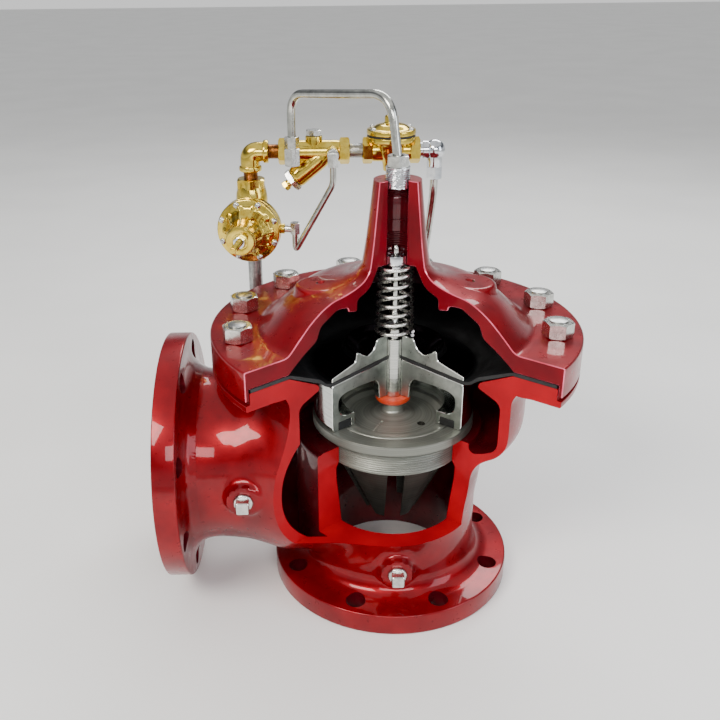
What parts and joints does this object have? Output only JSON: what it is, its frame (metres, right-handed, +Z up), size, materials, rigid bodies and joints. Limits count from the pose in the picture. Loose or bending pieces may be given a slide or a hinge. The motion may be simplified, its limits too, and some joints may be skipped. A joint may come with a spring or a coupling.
{
  "type": "pressure reducing valve",
  "caption": "Flanged angle-pattern pressure reducing valve with diaphragm actuator, brass pilot line and a wedge cut out of its castings.",
  "frame": {"origin": "middle of the footprint box, on the outlet flange's bottom face", "axes": "+Z up along the stem, -X towards the inlet flange, -Y towards the cut wedge"},
  "size_m": [0.454, 0.3624, 0.5545],
  "materials": {
    "red_enamel": "glossy",
    "stainless": "machined",
    "plated_steel": "bright",
    "brass": "polished",
    "bronze": "dull",
    "black_rubber": "matte",
    "orange_seal": "satin"
  },
  "bodies": {
    "valve": {"adjusting_jam_nut": "plated_steel", "auxiliary_outlet_elbow": "plated_steel", "auxiliary_valve_body": "brass", "auxiliary_valve_cover": "brass", "auxiliary_valve_diaphragm": "black_rubber", "body": "red_enamel", "cover": "red_enamel", "cover_fitting": "plated_steel", "cover_stud_1": "plated_steel", "cover_stud_2": "plated_steel", "cover_stud_3": "plated_steel", "cover_stud_4": "plated_steel", "cover_stud_5": "plated_steel", "cover_stud_6": "plated_steel", "cover_stud_7": "plated_steel", "cover_stud_8": "plated_steel", "cover_tube": "stainless", "diaphragm": "black_rubber", "inlet_neck_plug": "plated_steel", "line_elbow": "brass", "line_nipple": "bronze", "main_spring": "plated_steel", "outlet_neck_plug": "plated_steel", "outlet_tube": "stainless", "outlet_tube_fitting": "plated_steel", "pilot_body": "brass", "pilot_bonnet": "brass", "pilot_diaphragm": "black_rubber", "pilot_nipple": "bronze", "pilot_side_elbow": "plated_steel", "pilot_spring": "plated_steel", "pilot_spring_plate": "plated_steel", "seat_ring": "stainless", "sensing_elbow": "plated_steel", "sensing_tube": "stainless", "stem_bearing": "bronze", "strainer_blowdown_plug": "brass", "strainer_body": "brass", "strainer_cap": "plated_steel", "strainer_nipple": "plated_steel", "strainer_screen": "stainless", "strainer_top_plug": "plated_steel", "strainer_tube_elbow": "plated_steel", "supply_elbow": "plated_steel", "supply_pipe": "plated_steel"},
    "stem_assembly": {"stem": "stainless", "stem_spacer": "stainless", "stem_nut": "stainless", "diaphragm_washer": "stainless", "disc_retainer": "stainless", "seat_disc": "black_rubber", "throttling_plug": "stainless", "hub_seal": "orange_seal"},
    "spring_button": {"pilot_spring_button": "plated_steel"},
    "adjusting_screw_body": {"adjusting_screw": "brass"},
    "pilot_poppet_body": {"pilot_poppet": "stainless"},
    "auxiliary_disc_body": {"auxiliary_valve_disc": "brass"}
  },
  "joints": [
    {"name": "stem_travel", "type": "slide", "parent": "valve", "child": "stem_assembly", "axis": [0, 0, 1], "range_m": [0, 0.038], "stiffness_N_per_m": 1500, "springref_m": -0.05, "deforming": ["main_spring", "diaphragm"]},
    {"name": "button_slide", "type": "slide", "parent": "valve", "child": "spring_button", "axis": [-0.1392, -0.9903, 0], "range_m": [-0.0031, 0.0031], "deforming": ["pilot_spring"]},
    {"name": "screw_turn", "type": "hinge", "parent": "spring_button", "child": "adjusting_screw_body", "pos_m": [-0.14613, 0.03926, 0.38], "axis": [-0.1392, -0.9903, 0], "range_deg": [-720, 720]},
    {"name": "pilot_poppet_travel", "type": "slide", "parent": "valve", "child": "pilot_poppet_body", "axis": [0.1392, 0.9903, 0], "range_m": [0, 0.002], "stiffness_N_per_m": 2000, "springref_m": -0.002},
    {"name": "auxiliary_disc_travel", "type": "slide", "parent": "valve", "child": "auxiliary_disc_body", "axis": [0, 0, -1], "range_m": [0, 0.002], "stiffness_N_per_m": 2000, "springref_m": -0.001}
  ],
  "couplings": [
    {"joint": "button_slide", "follows": "screw_turn", "m_per_rad": 0.00023873}
  ]
}
